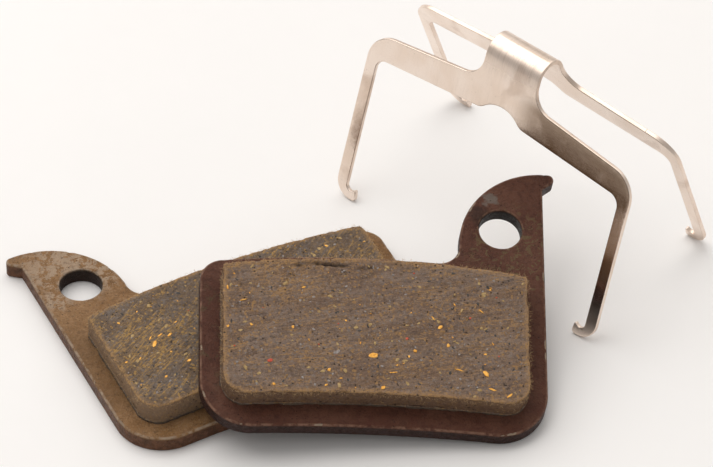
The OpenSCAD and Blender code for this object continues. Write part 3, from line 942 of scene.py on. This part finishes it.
UPPER_MINERAL = [((-17.4, -16.8), 1.0, 0.5, 30)]

# Cracks in the faces: from, to, width, depth
UPPER_CRACKS = [
    ((-20.1, -6.5), (-16, -6.7), 0.24, 0.36), ((-21.6, -6.9), (-20.3, -6.6), 0.3, 0.24),
    ((-15.4, -6.9), (-13.2, -6.8), 0.16, 0.2),
]
LOWER_CRACKS = [((-6.4, -9.0), (-8.5, -10.6), 0.12, 0.15)]

# Each kind of bit: material, number of seeded ones, range of lengths, height above its setting
KINDS = {
    "brass_flakes": (brass, 34, (0.12, 0.5), 0.03),
    "red_grains": (red_bit, 8, (0.12, 0.3), 0.03),
    "mineral_grains": (grey_bit, 150, (0.1, 0.42), 0.015),
    "carbon_grains": (dark_bit, 60, (0.12, 0.6), 0.01),
    "ochre_grains": (ochre_bit, 110, (0.12, 0.7), 0.01),
}
CHOSEN = {
    "lower": {"brass_flakes": LOWER_BRASS},
    "upper": {"brass_flakes": UPPER_BRASS, "red_grains": UPPER_RED, "mineral_grains": UPPER_MINERAL},
}
PADS = {
    "lower": (coat_tan_glare, friction_olive, 11.0, OLIVE_STREAKS, LOWER_CRACKS),
    "upper": (coat_dark, friction_grey, 23.0, GREY_STREAKS, UPPER_CRACKS),
}
for pad, (coat, compound, seed, angle, cracks) in PADS.items():
    plate_piece(pad, coat, seed)
    bond_piece(pad, adhesive, seed)
    block_piece(pad, compound, seed, angle, cracks)
    for order, (kind, (material, count, sizes, proud)) in enumerate(KINDS.items(), 1):
        flakes(pad, kind, material, CHOSEN[pad].get(kind, []), count, sizes, seed + order, proud)
    fibres(pad, fibre_tan, seed + len(KINDS) + 1, at_rim=900, on_face=170, angle=angle)


# ------ spring clip
def bend_strip(p):
    """Bends a point of the flat strip (along X, along the strip, thickness) into the clip's shape."""
    side = 1 if p[1] >= 0 else -1
    s, r = abs(p[1]), MID_R + p[2]
    a = min(s / MID_R, FOOT_ANGLE)
    past = max(0.0, s - ARCH_LEN)
    y = r * math.sin(a) + past * math.cos(FOOT_ANGLE)
    z = ARCH_AXIS_Z + r * math.cos(a) - past * math.sin(FOOT_ANGLE)
    return (CLIP_AT[0] + p[0], CLIP_AT[1] + side * y, z)


def strip_outline():
    """The clip's flat pattern, counter-clockwise, with Y along the strip and the crown at Y 0."""
    right = [np.array([p[0], ARCH_LEN - p[1]]) for p in half_frame()]
    quarter = [np.array([ARCH_W / 2, 0.0])] + right
    rear = quarter + [np.array([-x, y]) for x, y in reversed(quarter)]
    front = [np.array([-x, -y]) for x, y in rear]
    outline = dense(rear + front, 0.22)
    area = sum(a[0] * b[1] - b[0] * a[1] for a, b in zip(outline, np.roll(outline, -1, 0)))
    return outline[::-1] if area < 0 else outline


def bent_strip():
    """The whole clip: its flat points, bent points, normals weighted by face area, and faces."""
    half = SHEET_T / 2
    pts, _, _, faces = slab([strip_outline()], -half, half, round_top=0.09, round_bottom=0.09, step=0.42)
    mesh = bpy.data.meshes.new("strip")
    mesh.from_pydata([tuple(p) for p in pts], [], faces)
    bm = bmesh.new()
    bm.from_mesh(mesh)
    bpy.data.meshes.remove(mesh)
    everything = bm.verts[:] + bm.edges[:] + bm.faces[:]
    bmesh.ops.bisect_plane(bm, geom=everything, plane_co=(0, 0, 0), plane_no=(0, 1, 0), dist=1e-5)
    bmesh.ops.recalc_face_normals(bm, faces=bm.faces)
    flat = [v.co.copy() for v in bm.verts]
    for v in bm.verts:
        v.co = Vector(bend_strip(v.co))
    bm.normal_update()
    normals = []
    for v in bm.verts:
        normals.append(sum((f.normal * f.calc_area() for f in v.link_faces), Vector()).normalized())
    faces = [[v.index for v in f.verts] for f in bm.faces]
    bent = [v.co.copy() for v in bm.verts]
    bm.free()
    return flat, bent, normals, faces


def half_clip(name, side, strip, material):
    """The front (-1) or rear (1) half of the bent strip, closed at the crown."""
    flat, bent, normals, faces = strip
    mine = [f for f in faces if side * sum(flat[i].y for i in f) > 0]
    used = sorted({i for f in mine for i in f})
    new = {old: k for k, old in enumerate(used)}
    mesh = bpy.data.meshes.new(name)
    mesh.from_pydata([tuple(bent[i] * MM) for i in used], [], [tuple(new[i] for i in f) for f in mine])
    before = len(mesh.polygons)
    face_outwards(mesh, close=True)
    mesh.shade_smooth()
    flat_pattern = mesh.uv_layers.new(name="strip")
    split = []
    for poly in mesh.polygons:
        for li in poly.loop_indices:
            old = used[mesh.loops[li].vertex_index]
            flat_pattern.data[li].uv = (flat[old].x, flat[old].y)
            split.append(tuple(poly.normal) if poly.index >= before else tuple(normals[old]))
    mesh.normals_split_custom_set(split)
    # 1 on the broad faces of the strip, less on its sheared edges
    broad = [abs(flat[i].z) / (SHEET_T / 2) for i in used]
    mesh.attributes.new("broad", "FLOAT", "POINT").data.foreach_set("value", broad)
    mesh.materials.append(material)
    return add_object(name, mesh)


CLIP_HALVES = (
    ("clip_front_half", -1, "clip_front", "clip_front_legs"),
    ("clip_rear_half", 1, "clip_rear", "clip_rear_legs"),
)


def clip_pieces(material):
    """The clip is one strip, split along its arch's crown into a front and a rear half."""
    strip = bent_strip()
    for name, side, body, legs in CLIP_HALVES:
        obj = half_clip(name, side, strip, material)
        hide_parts("clip_arch", legs)
        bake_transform(obj)


clip_pieces(spring_steel())


# ------ floor, lights and camera
def floor_material():
    """Plain pale paper."""
    s = Shader("pale_floor")
    colour = s.mix(s.ramp(s.noise(0.02, 3), 0.3, 0.7), (0.92, 0.915, 0.91), (0.94, 0.935, 0.93))
    return s.finished(colour, s.ramp(s.noise(0.5, 3), 0.3, 0.7, 0.6, 0.75), (s.noise(3, 3), 0.01, 0.1))


FLOOR_REACH, FLOOR_DROP = 3.0, 0.00002  # in metres


def add_floor():
    """A floor a hair below the set, so that nothing lies in its plane."""
    reach = FLOOR_REACH / MM
    corners = [(-reach, -reach, 0), (reach, -reach, 0), (reach, reach, 0), (-reach, reach, 0)]
    obj = make("floor", corners, [(0, 1, 2, 3)], floor_material())
    obj.location.z = -FLOOR_DROP


def add_light(name, azimuth, elevation, distance, size, watts, colour):
    """Area light aimed at the middle of the set, from a bearing and a height."""
    a, e = math.radians(azimuth), math.radians(elevation)
    data = bpy.data.lights.new(name, "AREA")
    data.shape, data.size, data.energy, data.color = "DISK", size, watts, colour
    obj = add_object(name, data)
    middle = Vector((0.0205, 0.018, 0.006))
    way = Vector((math.cos(e) * math.cos(a), math.cos(e) * math.sin(a), math.sin(e)))
    obj.location = middle + way * distance
    obj.rotation_euler = way.to_track_quat("Z", "Y").to_euler()


# Bearing and height in degrees, distance and size in metres, watts and colour
LIGHTS = {
    "key": (172, 58, 0.7, 1.0, 4.5, (1.0, 0.965, 0.93)),
    "fill": (-70, 50, 0.8, 0.5, 0.2, (1.0, 0.97, 0.95)),
    "rim": (95, 35, 0.8, 0.6, 0.9, (1.0, 0.94, 0.88)),
}


def add_camera():
    """The view from the front right, down onto the set, with a long lens."""
    az, el, roll = (math.radians(v) for v in (40.77, 44.45, -0.2))
    right = Vector((math.cos(az), math.sin(az), 0))
    ahead = Vector((-math.sin(az), math.cos(az), 0))
    forward = ahead * math.cos(el) - Vector((0, 0, 1)) * math.sin(el)
    up = ahead * math.sin(el) + Vector((0, 0, 1)) * math.cos(el)
    right, up = right * math.cos(roll) + up * math.sin(roll), up * math.cos(roll) - right * math.sin(roll)
    data = bpy.data.cameras.new("camera")
    data.sensor_width, data.lens = 36, 337.2
    data.clip_start, data.clip_end = 0.01, 20
    obj = add_object("camera", data)
    turn = Matrix((right, up, -forward)).transposed().to_4x4()
    target, distance = Vector((0.01563, 0.02565, 0)), 0.7
    obj.matrix_world = Matrix.Translation(target - forward * distance) @ turn
    bpy.context.scene.camera = obj


def add_world():
    """An even, slightly warm studio light from all sides."""
    world = bpy.data.worlds.new("studio")
    world.use_nodes = True
    back = world.node_tree.nodes["Background"]
    back.inputs["Color"].default_value = (1.0, 0.97, 0.945, 1)
    back.inputs["Strength"].default_value = 0.42
    bpy.context.scene.world = world


bpy.context.scene.view_settings.view_transform = "Standard"
add_floor()
for name, settings in LIGHTS.items():
    add_light(name, *settings)
add_camera()
add_world()
